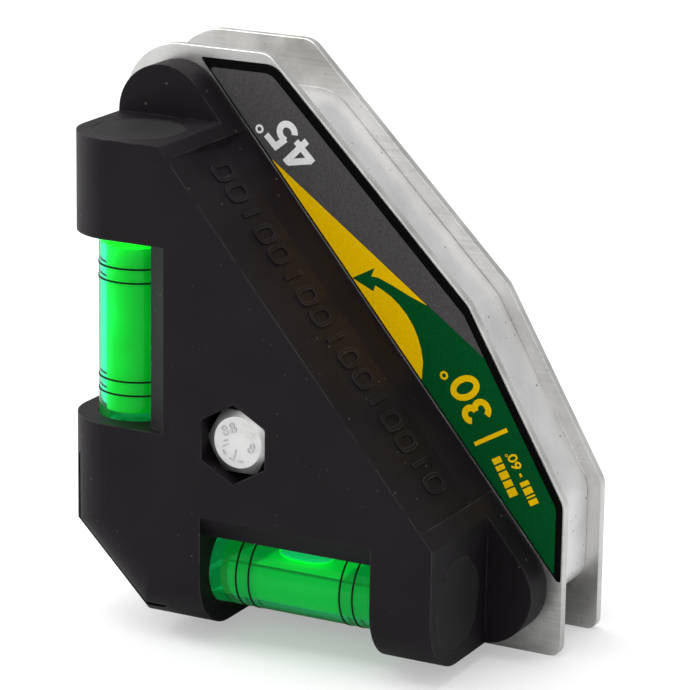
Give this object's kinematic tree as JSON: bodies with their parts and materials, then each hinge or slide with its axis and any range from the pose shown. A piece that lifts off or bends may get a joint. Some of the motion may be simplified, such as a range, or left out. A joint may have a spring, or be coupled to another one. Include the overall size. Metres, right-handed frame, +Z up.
{
  "type": "welding magnet holder",
  "caption": "Two-plate angle holder with a magnet core, angled edges and a moulded front housing that carries two level vials, clamped by one bolt.",
  "frame": {"origin": "bottom centre of the bounding box, on the surface that the pole plates stand on", "axes": "+Z up, +X along the base towards the low end of the sloping side, -Y out of the front with the vials"},
  "size_m": [0.103, 0.0672, 0.118],
  "materials": {
    "housing_plastic": "satin, finely grained",
    "plug_plastic": "matte",
    "plate_steel": "zinc plated, fine scratches",
    "core_aluminium": "as cast",
    "pin_steel": "turned",
    "bolt_zinc": "zinc plated",
    "nylon": "matte",
    "label_print": "printed, matte",
    "ferrite": "ground",
    "vial_clear": "clear acrylic",
    "vial_cap": "matte",
    "vial_liquid": "clear, dyed",
    "vial_bubble": "clear",
    "gauge_ring": "printed"
  },
  "bodies": {
    "holder": {"bolt_sleeve": "pin_steel", "core_frame": "core_aluminium", "dowel_pins": "pin_steel", "front_label": "label_print", "front_pole_plate": "plate_steel", "hex_bolt": "bolt_zinc", "horizontal_vial_barrel": "vial_clear", "horizontal_vial_left_cap": "vial_cap", "horizontal_vial_liquid": "vial_liquid", "horizontal_vial_right_cap": "vial_cap", "horizontal_vial_rings": "gauge_ring", "level_housing": "housing_plastic", "lock_nut": "bolt_zinc", "lock_nut_insert": "nylon", "magnet_corner": "ferrite", "magnet_lower": "ferrite", "magnet_middle": "ferrite", "magnet_upper": "ferrite", "rear_label": "label_print", "rear_pole_plate": "plate_steel", "rear_washer": "bolt_zinc", "side_bore_plug": "plug_plastic", "top_bore_plug": "plug_plastic", "vertical_vial_barrel": "vial_clear", "vertical_vial_liquid": "vial_liquid", "vertical_vial_lower_cap": "vial_cap", "vertical_vial_rings": "gauge_ring", "vertical_vial_upper_cap": "vial_cap"},
    "vertical_bubble": {"vertical_bubble": "vial_bubble"},
    "horizontal_bubble": {"horizontal_bubble": "vial_bubble"}
  },
  "joints": [
    {"name": "vertical_bubble_slide", "type": "slide", "parent": "holder", "child": "vertical_bubble", "axis": [0, 0, 1], "range_m": [-0.0325, 0], "stiffness_N_per_m": 1, "springref_m": 0.03},
    {"name": "horizontal_bubble_slide", "type": "slide", "parent": "holder", "child": "horizontal_bubble", "axis": [1, 0, 0], "range_m": [-0.0099, 0.0099], "stiffness_N_per_m": 1}
  ]
}
